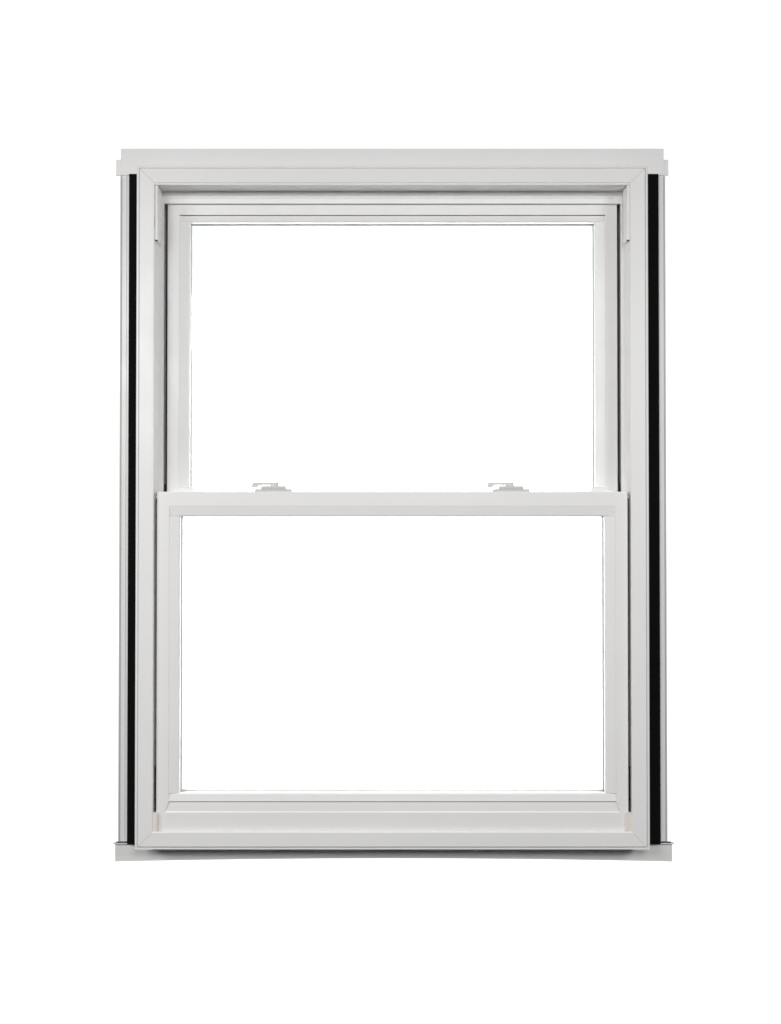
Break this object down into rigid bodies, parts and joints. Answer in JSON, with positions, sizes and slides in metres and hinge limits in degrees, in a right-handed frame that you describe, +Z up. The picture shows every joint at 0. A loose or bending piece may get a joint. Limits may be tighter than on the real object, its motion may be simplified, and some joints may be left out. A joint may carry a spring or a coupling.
{
  "type": "double hung window",
  "caption": "White vinyl window with two sliding glazed sashes, cam locks and tilt latches, wall fins, foam edge strips and a filler channel over the head.",
  "frame": {"origin": "on the sill fin's flat front face, which bears on the wall, below the frame's middle and 27.5 mm below its bottom edge", "axes": "+X to the right seen from the room, +Y to the outside, +Z up"},
  "size_m": [1.0226, 0.0826, 1.3073],
  "materials": {
    "white_vinyl": "extruded white vinyl, satin",
    "moulded_plastic": "moulded white plastic, satin",
    "lock_enamel": "white enamel on die-cast zinc",
    "cream_plastic": "moulded cream plastic",
    "black_nylon": "moulded black nylon",
    "black_foam": "black closed-cell foam",
    "black_pile": "woven pile",
    "spacer_metal": "mill finish",
    "glass": "clear float glass"
  },
  "bodies": {
    "window": {"corner_blocks": "cream_plastic", "fin_head": "white_vinyl", "fin_left": "white_vinyl", "fin_right": "white_vinyl", "fin_sill": "white_vinyl", "foam_left": "black_foam", "foam_right": "black_foam", "frame_head": "white_vinyl", "frame_jamb_left": "white_vinyl", "frame_jamb_right": "white_vinyl", "frame_sill": "white_vinyl", "head_channel": "white_vinyl", "head_liner": "white_vinyl", "head_stop": "white_vinyl", "latch_plates": "moulded_plastic", "lock_base_left": "lock_enamel", "lock_base_right": "lock_enamel", "lock_keepers": "lock_enamel", "lower_bead_bottom": "white_vinyl", "lower_bead_top": "white_vinyl", "lower_beads_side": "white_vinyl", "lower_bottom_rail": "white_vinyl", "lower_meeting_rail": "white_vinyl", "lower_pane_outside": "glass", "lower_pane_room": "glass", "lower_spacer": "spacer_metal", "lower_stile_left": "white_vinyl", "lower_stile_right": "white_vinyl", "pile_strips": "black_pile", "track_covers": "moulded_plastic", "track_shoes": "black_nylon", "upper_bead_top": "white_vinyl", "upper_beads_side": "white_vinyl", "upper_meeting_rail": "white_vinyl", "upper_pane_outside": "glass", "upper_pane_room": "glass", "upper_spacer": "spacer_metal", "upper_stile_left": "white_vinyl", "upper_stile_right": "white_vinyl", "upper_top_rail": "white_vinyl"},
    "lock_lever_left": {"lock_lever_left": "lock_enamel"},
    "lock_lever_right": {"lock_lever_right": "lock_enamel"},
    "tilt_latch_left": {"tilt_latch_left": "moulded_plastic"},
    "tilt_latch_right": {"tilt_latch_right": "moulded_plastic"}
  },
  "joints": [
    {"name": "lock_lever_left_turn", "type": "hinge", "parent": "window", "child": "lock_lever_left", "pos_m": [-0.213, -0.0192, 0.6731], "axis": [0, 0, 1], "range_deg": [0, 120]},
    {"name": "lock_lever_right_turn", "type": "hinge", "parent": "window", "child": "lock_lever_right", "pos_m": [0.213, -0.0192, 0.6731], "axis": [0, 0, 1], "range_deg": [0, 120]},
    {"name": "tilt_latch_left_slide", "type": "slide", "parent": "window", "child": "tilt_latch_left", "axis": [1, 0, 0], "range_m": [0, 0.009], "stiffness_N_per_m": 300, "springref_m": -0.005},
    {"name": "tilt_latch_right_slide", "type": "slide", "parent": "window", "child": "tilt_latch_right", "axis": [-1, 0, 0], "range_m": [0, 0.009], "stiffness_N_per_m": 300, "springref_m": -0.005}
  ]
}
